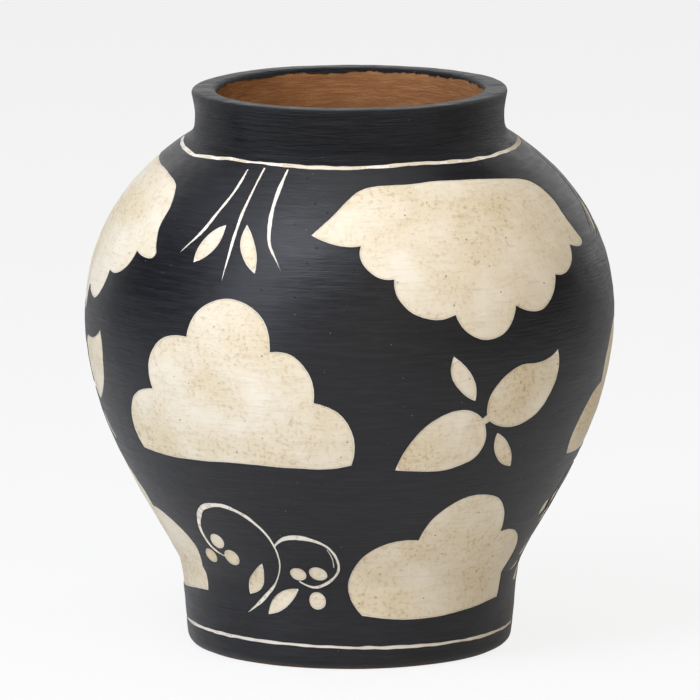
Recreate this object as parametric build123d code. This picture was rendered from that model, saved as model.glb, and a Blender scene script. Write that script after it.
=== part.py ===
from build123d import *
import os
from math import cos, radians, sin

# A hand-built clay pot, cream slip under black slip, with drawings scratched through the
# black. Millimetres, +Z up, origin at the middle of the resting face. Azimuth 0 is the
# front (-Y) and grows towards +X.

# Driving dimensions
HEIGHT = 270.0
BELLY_RADIUS = 127.7
BELLY_HEIGHT = 159.3
FOOT_RADIUS = 79.0
NECK_RADIUS = 74.3
MOUTH_RADIUS = 63.5
FLOOR_THICKNESS = 12.0
BASE_RADIUS = 66.0
FOOT_JOINT = 41.0
BELLY_JOINT = 160.0
NECK_JOINT = 247.5
CREAM_THICKNESS = 0.3
BLACK_THICKNESS = 0.3
COAT_START = 1.6
# The cream coat stops just above the root of the neck; the black goes on over the rim.
CREAM_TOP = 251.0
INNER_BLACK_EDGE = HEIGHT - 2.4
FOOT_RING_HEIGHT = 11.5
NECK_RING_HEIGHT = 243.7
RING_WIDTH = 2.0

CLAY_DEPTH = CREAM_THICKNESS + BLACK_THICKNESS
# The drawing cutters start inside the wall and end outside the widest girth.
CUTTER_START = 60.0
CUTTER_LENGTH = 90.0
# How far a cutting band reaches past what it cuts.
OVERSHOOT = 5.0

# The finished outside as (radius, height), from the resting face up, over the rim and into
# the mouth. Each stretch starts where the one before it ends.
RESTING_EDGE = (FOOT_RADIUS - 5.5, 0)
STRETCHES = (
    # rounded edge of the foot
    ((FOOT_RADIUS - 2.1, 1.8), (FOOT_RADIUS - 0.5, 6.5)),
    # foot wall
    ((FOOT_RADIUS + 0.7, 20), (FOOT_RADIUS + 2.2, 35), (FOOT_RADIUS + 3.4, FOOT_JOINT)),
    # belly and shoulder
    (
        (85.5, 47.5),
        (93.2, 60.9),
        (107.6, 87.3),
        (121.4, 120.9),
        (BELLY_RADIUS, BELLY_HEIGHT),
        (123.2, 190.5),
        (108.2, 219.3),
        (90.9, 237.1),
        (NECK_RADIUS + 3.9, NECK_JOINT - 1),
    ),
    # neck
    (
        (NECK_RADIUS + 0.9, NECK_JOINT + 2),
        (NECK_RADIUS, NECK_JOINT + 7),
        (NECK_RADIUS + 0.5, HEIGHT - 8),
        (NECK_RADIUS + 1.6, HEIGHT - 2.4),
    ),
    # outer edge of the rim
    ((NECK_RADIUS + 1.1, HEIGHT - 0.9), (NECK_RADIUS - 0.8, HEIGHT)),
    # rim
    ((MOUTH_RADIUS + 3.2, HEIGHT),),
    # inner edge of the rim
    ((MOUTH_RADIUS + 0.9, HEIGHT - 1.1), (MOUTH_RADIUS, HEIGHT - 3.5)),
    # top of the mouth
    ((MOUTH_RADIUS, HEIGHT - 12),),
)
# The hollow below that, down to the floor.
HOLLOW = (
    (MOUTH_RADIUS + 0.8, 246),
    (70.2, 239),
    (84.9, 229.7),
    (100.5, 213.7),
    (114.1, 187.8),
    (118.2, 159.5),
    (112.3, 123.6),
    (99.1, 91.6),
    (84.9, 65.6),
    (74.5, 45),
    (70.6, 28),
    (68.4, 17),
)
HOLLOW_CORNER = (BASE_RADIUS - 3, FLOOR_THICKNESS)
HOLLOW_CORNER_MIDDLE = (BASE_RADIUS, FLOOR_THICKNESS + 1.2)

# Scratched drawings as (across, height), seen square on. An outline is its start and then
# its stretches, each a curve through its points; a stroke is (across, height, width).
FLOWER = (
    (-72.5, 215.5),
    ((-60, 225), (-45, 234.5), (-20, 236.5), (10, 236.5), (35, 234.3), (52, 230.3),
     (61, 222.5), (66, 212.5), (73.3, 203.2)),
    ((73.2, 201.2), (71, 200.2)),
    ((66, 200.6), (61, 202.2)),
    ((60, 196), (54, 191.2), (44.4, 191)),
    ((41, 182.5), (33, 176.4), (22, 177), (15.7, 180)),
    ((8.5, 167.6), (-3, 165.2), (-13, 170.4), (-17.7, 178.2)),
    ((-28, 176.6), (-40, 181), (-45.2, 190), (-44.5, 196)),
    ((-52, 197.5), (-56.6, 204.5), (-54.7, 211)),
    ((-63, 210.8), (-72.5, 215.5)),
)
CLOUD = (
    (-20.8, 165.6),
    ((-16, 177), (1.5, 185.3), (19, 178), (24, 161.5)),
    ((34.9, 160), (43.1, 149.5), (43.4, 137.5)),
    ((53.1, 133.2), (58.3, 121.4), (55.4, 105.9)),
    ((49.9, 104.4), (30, 103.9), (0, 104.6), (-20, 103.8), (-50, 104.2), (-58, 105.1)),
    ((-62.5, 115.9), (-58.7, 130.5), (-43.9, 137.5)),
    ((-44.6, 151.4), (-37.8, 161.4), (-20.8, 165.6)),
)
CLOUDLET = (
    (-13.2, 65.3),
    ((-9.8, 75.4), (1.3, 84.6), (14.1, 87.1), (26.3, 83.2), (33.4, 73.6), (34.6, 64.8)),
    ((41, 64.8), (50.5, 59), (53.3, 51.5), (50, 43.8), (47.1, 39.8)),
    ((46.6, 35), (45.2, 28.3)),
    ((36.3, 27.5), (20.6, 25.7), (-9.4, 24.1), (-32.3, 27.1)),
    ((-36.9, 33.6), (-39.6, 50), (-36.6, 57.9), (-26.6, 64.6), (-13.2, 65.3)),
)
LEAF_PAIR = (
    (-41.6, 102.9),
    ((-38.2, 115.4), (-30.7, 125.7), (-20, 131.4), (-10, 131.6), (-2.4, 126.7)),
    ((-0.2, 128.4),),
    ((-0.4, 136.1), (5.7, 144.6), (16.4, 150.9), (29, 151), (35.7, 152.5), (41.4, 156)),
    ((42.6, 147.9), (38.9, 135.4), (29.3, 125), (15.7, 120.5), (1.9, 124.9)),
    ((-0.4, 123.4),),
    ((1.3, 115.7), (-2.1, 107.5), (-12.9, 102.6), (-30, 101.9), (-41.6, 102.9)),
)
SMALL_LEAVES = (
    ((-20.7, 158.9), ((-13.6, 152.5), (-7.9, 142.5), (-7.7, 135.9)),
     ((-15, 140.4), (-21.8, 150.7), (-20.7, 158.9))),
    ((7.5, 118.4), ((14.6, 113.2), (20, 103.6), (20.4, 99.9)),
     ((12.9, 102.9), (6.8, 112.9), (7.5, 118.4))),
)
SPRAY_LEAVES = (
    ((-8, 218), ((-14.3, 214.8), (-20.4, 206.6), (-21.2, 200.1)),
     ((-15, 203), (-9.3, 209.4), (-8, 218))),
    ((2.9, 218.7), ((8.6, 212.3), (12.5, 204.4), (13, 197.6)),
     ((6.8, 202.3), (1.8, 211.6), (2.9, 218.7))),
)
SPRAY_STROKES = (
    ((-9.4, 241.1, 1), (-10.4, 233, 1.5), (-15, 223, 1.7), (-20.4, 214.1, 1.7),
     (-26.4, 207.4, 1), (-31.4, 202.6, 0)),
    ((-0.7, 242.4, 1), (-1.2, 230, 1.5), (-2.1, 215.1, 1.8), (-2.7, 202.3, 1.2),
     (-3.6, 191.6, 0)),
    ((11.2, 242.3, 1), (12.1, 233, 2.3), (13.9, 220.9, 1.8), (17.4, 210.4, 1.4),
     (21.4, 205.1, 0.8), (25.7, 199.1, 0)),
)
SCROLL_LEAVES = (
    ((-0.3, 51.9), ((-6.2, 47.1), (-11.6, 39.3), (-11.4, 35.1)),
     ((-4.5, 38.2), (-1.2, 45.5), (-0.3, 51.9))),
    ((15.2, 40), ((9.1, 39.1), (0.9, 32.9), (-1.4, 26.1)),
     ((5.2, 28.2), (12, 34.3), (15.2, 40))),
)
SCROLL_STROKES = (
    ((-21.9, 53.2, 1), (-29.1, 57.1, 1.7), (-32.6, 66, 2.1), (-28, 77.6, 2.6),
     (-15.9, 81, 2.4), (-0.9, 75.7, 2), (7.8, 65.5, 1.6), (8.8, 52.1, 0.9),
     (4.9, 42.9, 0.8), (-2.3, 35, 1.9), (-13.7, 25.4, 0)),
    ((9.1, 61.8, 0.9), (14.1, 65.9, 1.8), (24.1, 66.8, 2.3), (35, 62, 1.4),
     (36.3, 50.7, 1), (30.2, 43.9, 1.2), (22.4, 40.9, 1.3), (16.6, 43.6, 1)),
    ((34.1, 61.4, 0.5), (35.2, 56.4, 0.5), (34.5, 51.4, 0.5)),
)
# Berries as (across, height, half width, half height).
BERRIES = (
    (-23.9, 60.9, 4.3, 3.9),
    (-17.5, 53.1, 4.5, 4.2),
    (-31.2, 52.1, 3.8, 3.7),
    (16.6, 47.3, 3.9, 3.4),
    (26.3, 48.1, 4.1, 3.6),
    (23.7, 34.5, 3.9, 4.4),
)

# Each design as its outlines, strokes, berries and the height of its middle.
DESIGNS = {
    "flower": ((FLOWER,), (), (), 201),
    "spray": (SPRAY_LEAVES, SPRAY_STROKES, (), 217),
    "cloud": ((CLOUD,), (), (), 144),
    "leaves": ((LEAF_PAIR, *SMALL_LEAVES), (), (), 127),
    "scroll": (SCROLL_LEAVES, SCROLL_STROKES, BERRIES, 53),
    "cloudlet": ((CLOUDLET,), (), (), 55),
}
# Where each one is drawn: azimuth, rise, width factor, height factor and turn in degrees.
# They go round the pot three times, each time a little different, as a hand draws them.
DRAWINGS = (
    ("flower", 31.5, 0, 1, 1, 0),
    ("flower", 152, 0.5, 0.98, 0.99, -0.5),
    ("flower", -88.5, -1.7, 1, 1.045, 0),
    ("spray", -28, 0, 1, 1, 0),
    ("spray", 94, 0, 1.03, 0.98, 0),
    ("spray", -147, -0.5, 0.96, 1, 0),
    ("cloud", -28, 0, 1, 1, 0),
    ("cloud", 97, -6, 1, 1, 0),
    ("cloud", -146, -2, 1.02, 0.97, 0),
    ("leaves", 32, 0, 1, 1, 0),
    ("leaves", 155, -1, 1, 0.97, -4),
    ("leaves", -88, 0, 1.06, 1, 5),
    ("scroll", -28, 0, 1, 1, 0),
    ("scroll", 87, 3, 1, 1, -30),
    ("scroll", -148, 1, 1.04, 0.97, -9),
    ("cloudlet", 28, 0, 1, 1, 0),
    ("cloudlet", 149, 1.5, 0.97, 1, 1),
    ("cloudlet", -92, 6, 1.02, 1.06, 0),
)


def moved_in(points, depth):
    """The points of a line, each moved square to it by depth, into the clay."""
    moved = []
    for index, point in enumerate(points):
        before = points[max(index - 1, 0)]
        after = points[min(index + 1, len(points) - 1)]
        run = Vector(after[0] - before[0], after[1] - before[1]).normalized()
        moved.append((point[0] - run.Y * depth, point[1] + run.X * depth))
    return moved


def outside_edges(depth):
    """The edges of the finished outside, moved in by depth."""
    whole = [RESTING_EDGE] + [point for stretch in STRETCHES for point in stretch]
    points = moved_in(whole, depth)
    edges = []
    start = 0
    for stretch in STRETCHES:
        end = start + len(stretch)
        edges.append(Spline(*points[start:end + 1]))
        start = end
    return edges


def clay_section():
    """Half of the clay body, cut down its axis."""
    outside = outside_edges(CLAY_DEPTH)
    foot = (outside[0] @ 0).X
    hollow = Spline(outside[-1] @ 1, *HOLLOW)
    corner = Spline(HOLLOW[-1], HOLLOW_CORNER_MIDDLE, HOLLOW_CORNER)
    bottom = Polyline(
        HOLLOW_CORNER, (0, FLOOR_THICKNESS), (0, 0), (foot - CLAY_DEPTH, 0), outside[0] @ 0
    )
    return make_face([*outside, hollow, corner, bottom])


def coat_section(outer_depth, inner_depth):
    """Half of a coat between two depths below the finished outside."""
    outer = outside_edges(outer_depth)
    inner = outside_edges(inner_depth)
    ends = [Line(outer[0] @ 0, inner[0] @ 0), Line(outer[-1] @ 1, inner[-1] @ 1)]
    return make_face([*outer, *inner, *ends])


def band(low, high, inner=0.0, outer=BELLY_RADIUS + OVERSHOOT):
    """A rectangle of half section, from height low to height high."""
    middle = ((inner + outer) / 2, (low + high) / 2)
    return Pos(*middle) * Rectangle(outer - inner, high - low)


def turned(section):
    """A half section turned once round the axis into a solid."""
    upright = Plane.XZ * section
    return revolve(upright, Axis.Z, 360)


def outline_face(outline, place):
    """The face of one outline, each of its points put in its place."""
    at = place(outline[0])
    edges = []
    for stretch in outline[1:]:
        points = [at] + [place(point) for point in stretch]
        edges.append(Spline(*points))
        at = points[-1]
    return make_face(edges)


def stroke_face(stroke, place):
    """The face of one scratched stroke: its middle line, wide and narrow by turns."""
    middle = [place(point[:2]) for point in stroke]
    left = []
    right = []
    for index, point in enumerate(middle):
        before = middle[max(index - 1, 0)]
        after = middle[min(index + 1, len(middle) - 1)]
        run = Vector(after[0] - before[0], after[1] - before[1]).normalized()
        half = stroke[index][2] / 2
        left.append((point[0] - run.Y * half, point[1] + run.X * half))
        right.append((point[0] + run.Y * half, point[1] - run.X * half))
    edges = [Spline(*left), Spline(*right), Line(left[0], right[0])]
    if stroke[-1][2] > 0:
        edges.append(Line(left[-1], right[-1]))
    return make_face(edges)


def drawing_cutters(design, azimuth, rise, wide, tall, turn):
    """Cutters for one drawing, square on to the pot at its azimuth."""
    outlines, strokes, berries, middle = DESIGNS[design]
    turn = radians(turn)

    def place(point):
        across = point[0] * wide
        up = (point[1] - middle) * tall
        return (
            across * cos(turn) - up * sin(turn),
            across * sin(turn) + up * cos(turn) + middle + rise,
        )

    faces = [outline_face(outline, place) for outline in outlines]
    faces += [stroke_face(stroke, place) for stroke in strokes]
    for across, up, half_width, half_height in berries:
        faces.append(Pos(*place((across, up))) * Ellipse(half_width, half_height))

    angle = radians(azimuth)
    outward = Vector(sin(angle), -cos(angle), 0)
    plane = Plane(
        origin=outward * CUTTER_START,
        x_dir=(cos(angle), sin(angle), 0),
        z_dir=outward,
    )
    return [extrude(plane * face, amount=CUTTER_LENGTH) for face in faces]


def clay_pieces():
    """The sections that the potter forms apart and joins while the clay is leather hard."""
    clay = clay_section()
    base = band(0, FLOOR_THICKNESS, 0, BASE_RADIUS)
    return {
        "base_disc": turned(clay & base),
        "foot_wall": turned((clay & band(0, FOOT_JOINT)) - base),
        "lower_belly": turned(clay & band(FOOT_JOINT, BELLY_JOINT)),
        "shoulder": turned(clay & band(BELLY_JOINT, NECK_JOINT)),
        "neck_collar": turned(clay & band(NECK_JOINT, HEIGHT)),
    }


def coat_pieces():
    """The cream coat, and the black coat over it in its three bands."""
    cream = coat_section(BLACK_THICKNESS, CLAY_DEPTH)
    black = coat_section(0, BLACK_THICKNESS)
    bare_clay_black = coat_section(0, CLAY_DEPTH)
    half_ring = RING_WIDTH / 2
    foot_ring = (FOOT_RING_HEIGHT - half_ring, FOOT_RING_HEIGHT + half_ring)
    neck_ring = (NECK_RING_HEIGHT - half_ring, NECK_RING_HEIGHT + half_ring)

    belly = turned(black & band(foot_ring[1], neck_ring[0]))
    for drawing in DRAWINGS:
        belly -= drawing_cutters(*drawing)

    inside = MOUTH_RADIUS + OVERSHOOT
    over_the_rim = bare_clay_black & band(CREAM_TOP, HEIGHT + OVERSHOOT)
    over_the_rim -= band(0, INNER_BLACK_EDGE, 0, inside)
    collar = (black & band(neck_ring[1], CREAM_TOP)) + over_the_rim
    return {
        "cream_slip_coat": turned(cream & band(COAT_START, CREAM_TOP, inside)),
        "foot_black_slip": turned(black & band(COAT_START, foot_ring[0])),
        "belly_black_slip": belly,
        "neck_black_slip": turned(collar),
    }


os.makedirs("parts", exist_ok=True)
for name, shape in {**clay_pieces(), **coat_pieces()}.items():
    export_step(shape, f"parts/{name}.step")
    size = shape.bounding_box().size
    print(f"{name}: {len(shape.solids())} solid, {shape.volume:.0f} mm3, {size}")
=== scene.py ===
from math import cos, radians, sin

import bpy
import numpy as np
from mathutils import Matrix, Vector
from mathutils.geometry import delaunay_2d_cdt
from mathutils.kdtree import KDTree


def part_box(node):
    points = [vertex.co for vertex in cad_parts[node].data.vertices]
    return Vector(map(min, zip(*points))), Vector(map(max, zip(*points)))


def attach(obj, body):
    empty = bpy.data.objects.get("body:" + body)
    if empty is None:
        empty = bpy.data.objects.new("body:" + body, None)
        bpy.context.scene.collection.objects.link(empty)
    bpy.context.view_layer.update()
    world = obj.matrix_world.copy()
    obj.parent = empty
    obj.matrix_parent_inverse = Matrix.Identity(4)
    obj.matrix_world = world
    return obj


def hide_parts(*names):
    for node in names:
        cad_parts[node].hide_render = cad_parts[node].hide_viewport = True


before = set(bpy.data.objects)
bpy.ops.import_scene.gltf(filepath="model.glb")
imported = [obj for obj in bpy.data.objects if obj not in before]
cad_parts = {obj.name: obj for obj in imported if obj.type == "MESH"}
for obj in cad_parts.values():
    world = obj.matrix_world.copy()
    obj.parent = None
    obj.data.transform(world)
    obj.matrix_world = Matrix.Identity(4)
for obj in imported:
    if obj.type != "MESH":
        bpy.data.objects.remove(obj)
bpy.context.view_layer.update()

# A hand-built pot in red clay. The outside is coated with cream slip and then with black slip,
# and the drawings are scratched through the black while it is still soft.
# Lengths are in millimetres until a mesh is made. Azimuth 0 is the front (-Y) and grows
# towards +X. "Walked" is the length along a wall line: up the outside from the resting face,
# over the rim and into the mouth, or down the inside from the mouth to the floor.

MM = 0.001


def in_mm(node):
    """Lowest and highest corners of a node of the frame, in millimetres."""
    low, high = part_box(node)
    return [c / MM for c in low], [c / MM for c in high]


# ---------------------------------------------------------------- sizes from the frame
HEIGHT = in_mm("neck_black_slip")[1][2]
BELLY_RADIUS = in_mm("belly_black_slip")[1][0]
FOOT_RADIUS = in_mm("foot_black_slip")[1][0]
BASE_RADIUS = in_mm("base_disc")[1][0]
FLOOR_THICKNESS = in_mm("base_disc")[1][2]
FOOT_JOINT = in_mm("foot_wall")[1][2]
BELLY_JOINT = in_mm("lower_belly")[1][2]
NECK_JOINT = in_mm("shoulder")[1][2]
CREAM_TOP = in_mm("cream_slip_coat")[1][2]

NECK_RADIUS = 74.3
MOUTH_RADIUS = 63.5
BELLY_HEIGHT = BELLY_JOINT - 0.7
# Thickness of one coat, and of the black where no cream lies under it.
SLIP = 0.3
BLACK_ALONE = 0.35
FOOT_RING_HEIGHT = 11.5
NECK_RING_HEIGHT = 243.7
FOOT_RING_WIDTH = 1.6
NECK_RING_WIDTH = 1.35
RING_RADIUS = 75.0
# Where the coats start under the foot, and where the black ends inside the mouth.
COATS_START_HEIGHT = 0.2
PAINT_STOP_HEIGHT = HEIGHT - 2.4

# The finished outside as (radius, height), from the resting face up, over the rim and down
# into the mouth.
OUTSIDE = (
    (FOOT_RADIUS - 5.5, 0),
    (FOOT_RADIUS - 2.1, 1.8), (FOOT_RADIUS - 0.5, 6.5),
    (FOOT_RADIUS + 0.7, 20), (FOOT_RADIUS + 2.2, 35), (FOOT_RADIUS + 3.4, FOOT_JOINT),
    (85.5, 47.5), (93.2, 60.9), (107.6, 87.3), (121.4, 120.9), (BELLY_RADIUS, BELLY_HEIGHT),
    (123.2, 190.5), (108.2, 219.3), (90.9, 237.1), (NECK_RADIUS + 3.9, NECK_JOINT - 1),
    (NECK_RADIUS + 0.9, NECK_JOINT + 2), (NECK_RADIUS, NECK_JOINT + 7),
    (NECK_RADIUS + 0.5, HEIGHT - 8), (NECK_RADIUS + 1.6, HEIGHT - 2.4),
    (NECK_RADIUS + 1.1, HEIGHT - 0.9), (NECK_RADIUS - 0.8, HEIGHT),
    (MOUTH_RADIUS + 3.2, HEIGHT),
    (MOUTH_RADIUS + 0.9, HEIGHT - 1.1), (MOUTH_RADIUS, HEIGHT - 3.5),
    (MOUTH_RADIUS, HEIGHT - 12),
)
# The inside of the clay below that, down to the floor.
HOLLOW = (
    (MOUTH_RADIUS, HEIGHT - 12),
    (MOUTH_RADIUS + 0.8, 246), (70.2, 239), (84.9, 229.7), (100.5, 213.7), (114.1, 187.8),
    (118.2, 159.5), (112.3, 123.6), (99.1, 91.6), (84.9, 65.6), (74.5, 45), (70.6, 28),
    (68.4, 17), (BASE_RADIUS, FLOOR_THICKNESS + 1.2), (BASE_RADIUS - 3, FLOOR_THICKNESS),
)
# Spacing of points on a wall line, on scratched edges, up the coats, up the coats where the wall
# bends and where it turns sharply, up the clay, and up the clay at the rim.
LINE_STEP = 0.25
EDGE_STEP = 1.0
GRID_STEP = 2.7
BEND_STEP = 1.2
CORNER_STEP = 0.75
CLAY_STEP = 2.4
CLAY_RIM_STEP = 0.8
# The coats have this many columns of points round the pot, and the clay half as many.
COLUMNS = 288
AROUND = np.linspace(-180, 180, COLUMNS // 2, endpoint=False)
# No grid point stands closer to an edge than this, so that no triangle gets too thin.
CLEARANCE = 0.8
# A degree counts as this many millimetres where the unrolled wall is cut into triangles.
MM_PER_DEGREE = 1.95
# Added to a length before it divides, so that none is nought.
TINY = 1e-12

# How far the outside is set in from its line, how far its swells, dents and finger marks
# stand, how much wider than high these are, and how far the rim dips on one side.
INSET = 0.4
SWELLS = 0.2
DENTS = 0.1
FINGER_MARKS = 0.05
FLATTENED = 2.6
RIM_DIP = 0.35
# The ridges inside: their spacing and height, the swells among them, where they start below
# the rim and over what height they grow, and how far the smooth wall above is set back.
RIDGE_SPACING = 7.5
RIDGE_HEIGHT = 0.28
INSIDE_SWELLS = 0.25
RIDGES_START = HEIGHT - 13
RIDGES_GROW = 24
MOUTH_SETBACK = 0.75
# How far a hand strays from a drawn line, slowly and in small trembles.
STRAY = 0.22
TREMBLE = 0.05
# Chips in the slips' edge under the foot, as azimuth and size, and how many degrees wide.
CHIPS = ((-46, 1.2), (28, 2.0), (112, 2.4), (-140, 1.6))
CHIP_WIDTH = 1.1
# Clay faces that meet at more than this many degrees keep a crisp edge.
CRISP_ANGLE = 50

# ---------------------------------------------------------------- drawings
# Points are (across, height), seen square on. An outline is its start and then its stretches,
# each a curve through its points. A stroke's points are (across, height, width).
FLOWER = (
    (-72.5, 215.5),
    ((-60, 225), (-45, 234.5), (-20, 236.5), (10, 236.5), (35, 234.3), (52, 230.3),
     (61, 222.5), (66, 212.5), (73.3, 203.2)),
    ((73.2, 201.2), (71, 200.2)),
    ((66, 200.6), (61, 202.2)),
    ((60, 196), (54, 191.2), (44.4, 191)),
    ((41, 182.5), (33, 176.4), (22, 177), (15.7, 180)),
    ((8.5, 167.6), (-3, 165.2), (-13, 170.4), (-17.7, 178.2)),
    ((-28, 176.6), (-40, 181), (-45.2, 190), (-44.5, 196)),
    ((-52, 197.5), (-56.6, 204.5), (-54.7, 211)),
    ((-63, 210.8), (-72.5, 215.5)),
)
CLOUD = (
    (-20.8, 165.6),
    ((-16, 177), (1.5, 185.3), (19, 178), (24, 161.5)),
    ((34.9, 160), (43.1, 149.5), (43.4, 137.5)),
    ((53.1, 133.2), (58.3, 121.4), (55.4, 105.9)),
    ((49.9, 104.4), (30, 103.9), (0, 104.6), (-20, 103.8), (-50, 104.2), (-58, 105.1)),
    ((-62.5, 115.9), (-58.7, 130.5), (-43.9, 137.5)),
    ((-44.6, 151.4), (-37.8, 161.4), (-20.8, 165.6)),
)
CLOUDLET = (
    (-13.2, 65.3),
    ((-9.8, 75.4), (1.3, 84.6), (14.1, 87.1), (26.3, 83.2), (33.4, 73.6), (34.6, 64.8)),
    ((41, 64.8), (50.5, 59), (53.3, 51.5), (50, 43.8), (47.1, 39.8)),
    ((46.6, 35), (45.2, 28.3)),
    ((36.3, 27.5), (20.6, 25.7), (-9.4, 24.1), (-32.3, 27.1)),
    ((-36.9, 33.6), (-39.6, 50), (-36.6, 57.9), (-26.6, 64.6), (-13.2, 65.3)),
)
LEAF_PAIR = (
    (-41.6, 102.9),
    ((-38.2, 115.4), (-30.7, 125.7), (-20, 131.4), (-10, 131.6), (-2.4, 126.7)),
    ((-0.2, 128.4),),
    ((-0.4, 136.1), (5.7, 144.6), (16.4, 150.9), (29, 151), (35.7, 152.5), (41.4, 156)),
    ((42.6, 147.9), (38.9, 135.4), (29.3, 125), (15.7, 120.5), (1.9, 124.9)),
    ((-0.4, 123.4),),
    ((1.3, 115.7), (-2.1, 107.5), (-12.9, 102.6), (-30, 101.9), (-41.6, 102.9)),
)
SMALL_LEAVES = (
    ((-20.7, 158.9), ((-13.6, 152.5), (-7.9, 142.5), (-7.7, 135.9)),
     ((-15, 140.4), (-21.8, 150.7), (-20.7, 158.9))),
    ((7.5, 118.4), ((14.6, 113.2), (20, 103.6), (20.4, 99.9)),
     ((12.9, 102.9), (6.8, 112.9), (7.5, 118.4))),
)
SPRAY_LEAVES = (
    ((-8, 218), ((-14.3, 214.8), (-20.4, 206.6), (-21.2, 200.1)),
     ((-15, 203), (-9.3, 209.4), (-8, 218))),
    ((2.9, 218.7), ((8.6, 212.3), (12.5, 204.4), (13, 197.6)),
     ((6.8, 202.3), (1.8, 211.6), (2.9, 218.7))),
)
SPRAY_STROKES = (
    ((-9.4, 241.1, 1), (-10.4, 233, 1.5), (-15, 223, 1.7), (-20.4, 214.1, 1.7),
     (-26.4, 207.4, 1), (-31.4, 202.6, 0)),
    ((-0.7, 242.4, 1), (-1.2, 230, 1.5), (-2.1, 215.1, 1.8), (-2.7, 202.3, 1.2),
     (-3.6, 191.6, 0)),
    ((11.2, 242.3, 1), (12.1, 233, 2.3), (13.9, 220.9, 1.8), (17.4, 210.4, 1.4),
     (21.4, 205.1, 0.8), (25.7, 199.1, 0)),
)
SCROLL_LEAVES = (
    ((-0.3, 51.9), ((-6.2, 47.1), (-11.6, 39.3), (-11.4, 35.1)),
     ((-4.5, 38.2), (-1.2, 45.5), (-0.3, 51.9))),
    ((15.2, 40), ((9.1, 39.1), (0.9, 32.9), (-1.4, 26.1)),
     ((5.2, 28.2), (12, 34.3), (15.2, 40))),
)
SCROLL_STROKES = (
    ((-21.9, 53.2, 1), (-29.1, 57.1, 1.7), (-32.6, 66, 2.1), (-28, 77.6, 2.6),
     (-15.9, 81, 2.4), (-0.9, 75.7, 2), (7.8, 65.5, 1.6), (8.8, 52.1, 0.9),
     (4.9, 42.9, 0.8), (-2.3, 35, 1.9), (-13.7, 25.4, 0)),
    ((9.1, 61.8, 0.9), (14.1, 65.9, 1.8), (24.1, 66.8, 2.3), (35, 62, 1.4),
     (36.3, 50.7, 1), (30.2, 43.9, 1.2), (22.4, 40.9, 1.3), (16.6, 43.6, 1)),
    ((34.1, 61.4, 0.5), (35.2, 56.4, 0.5), (34.5, 51.4, 0.5)),
)
# Berries are (across, height, half width, half height).
BERRIES = (
    (-23.9, 60.9, 4.3, 3.9), (-17.5, 53.1, 4.5, 4.2), (-31.2, 52.1, 3.8, 3.7),
    (16.6, 47.3, 3.9, 3.4), (26.3, 48.1, 4.1, 3.6), (23.7, 34.5, 3.9, 4.4),
)
# Each design as its outlines, strokes, berries and the height of its middle.
DESIGNS = {
    "flower": ((FLOWER,), (), (), 201),
    "spray": (SPRAY_LEAVES, SPRAY_STROKES, (), 217),
    "cloud": ((CLOUD,), (), (), 144),
    "leaves": ((LEAF_PAIR, *SMALL_LEAVES), (), (), 127),
    "scroll": (SCROLL_LEAVES, SCROLL_STROKES, BERRIES, 53),
    "cloudlet": ((CLOUDLET,), (), (), 55),
}
# Where each is drawn: azimuth, rise, width factor, height factor and turn in degrees. They
# go round the pot three times, each time a little different, as a hand draws them.
DRAWINGS = (
    ("flower", 31.5, 0, 1, 1, 0),
    ("flower", 152, 0.5, 0.98, 0.99, -0.5),
    ("flower", -88.5, -1.7, 1, 1.045, 0),
    ("spray", -28, 0, 1, 1, 0),
    ("spray", 94, 0, 1.03, 0.98, 0),
    ("spray", -147, -0.5, 0.96, 1, 0),
    ("cloud", -28, 0, 1, 1, 0),
    ("cloud", 97, -6, 1, 1, 0),
    ("cloud", -146, -2, 1.02, 0.97, 0),
    ("leaves", 32, 0, 1, 1, 0),
    ("leaves", 155, -1, 1, 0.97, -4),
    ("leaves", -88, 0, 1.06, 1, 5),
    ("scroll", -28, 0, 1, 1, 0),
    ("scroll", 87, 3, 1, 1, -30),
    ("scroll", -148, 1, 1.04, 0.97, -9),
    ("cloudlet", 28, 0, 1, 1, 0),
    ("cloudlet", 149, 1.5, 0.97, 1, 1),
    ("cloudlet", -92, 6, 1.02, 1.06, 0),
)


# ---------------------------------------------------------------- curves and unevenness
def through(points, step):
    """Points about a step apart on a smooth curve through these points."""
    p = np.array(points, float)
    length = np.linalg.norm(np.diff(p, axis=0), axis=1)[:, None]
    slope = np.diff(p, axis=0) / length
    tangent = np.vstack([slope[:1], slope])
    if len(p) > 2:
        middle = (slope[:-1] * length[1:] + slope[1:] * length[:-1]) / (length[1:] + length[:-1])
        tangent = np.vstack([2 * slope[0] - middle[0], middle, 2 * slope[-1] - middle[-1]])
    walked = []
    for i, span in enumerate(length[:, 0]):
        t = np.linspace(0, 1, max(2, round(span / step) + 1))[:-1, None]
        walked.append(
            p[i] * (2 * t**3 - 3 * t**2 + 1)
            + tangent[i] * span * (t**3 - 2 * t**2 + t)
            + p[i + 1] * (3 * t**2 - 2 * t**3)
            + tangent[i + 1] * span * (t**3 - t**2)
        )
    return np.vstack(walked + [p[-1:]])


def waves(points, length, seed, count=14):
    """Smooth unevenness, about -1 to 1, with bumps of about this length, the same every run."""
    chance = np.random.default_rng(seed)
    total = np.zeros(len(points))
    for _ in range(count):
        direction = chance.normal(size=points.shape[1])
        direction *= 2 * np.pi / length * chance.uniform(0.6, 1.5) / np.linalg.norm(direction)
        total += np.sin(points @ direction + chance.uniform(0, 2 * np.pi))
    return np.clip(total / np.sqrt(count) / 1.4, -1, 1)


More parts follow.
